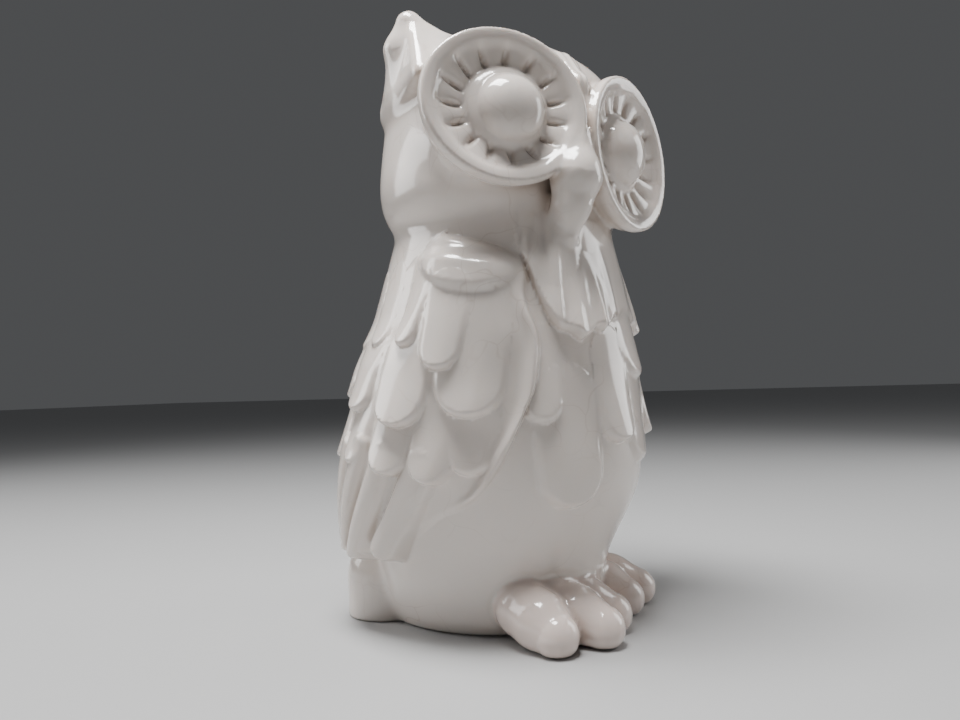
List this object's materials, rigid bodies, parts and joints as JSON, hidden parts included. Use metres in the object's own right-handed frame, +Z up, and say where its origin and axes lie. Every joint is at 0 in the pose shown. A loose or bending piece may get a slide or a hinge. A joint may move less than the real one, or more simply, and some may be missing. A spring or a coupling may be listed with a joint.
{
  "type": "owl figurine",
  "caption": "Glazed ceramic owl figurine on a flat hollow base, with large round eye discs, ear tufts, folded wings and plump toes.",
  "frame": {"origin": "middle of the flat base that the owl stands on", "axes": "+Z up, -Y the way the owl's body faces, +X the owl's left"},
  "size_m": [0.111, 0.1079, 0.201],
  "materials": {
    "glaze": "glossy, finely crazed off-white glaze",
    "glaze_pink": "glossy off-white glaze, faintly pink where it runs thin"
  },
  "bodies": {
    "root": {"body": "glaze", "head": "glaze", "right_ear": "glaze", "left_ear": "glaze", "right_eye_disc": "glaze", "left_eye_disc": "glaze", "right_eye_dome": "glaze", "left_eye_dome": "glaze", "brow": "glaze", "beak": "glaze", "throat_ruff": "glaze", "right_breast_feather": "glaze", "left_breast_feather": "glaze", "right_flank_feather": "glaze", "left_flank_feather": "glaze", "belly_feather": "glaze", "right_wing": "glaze", "left_wing": "glaze", "right_foot": "glaze_pink", "left_foot": "glaze_pink", "tail": "glaze"}
  },
  "joints": []
}
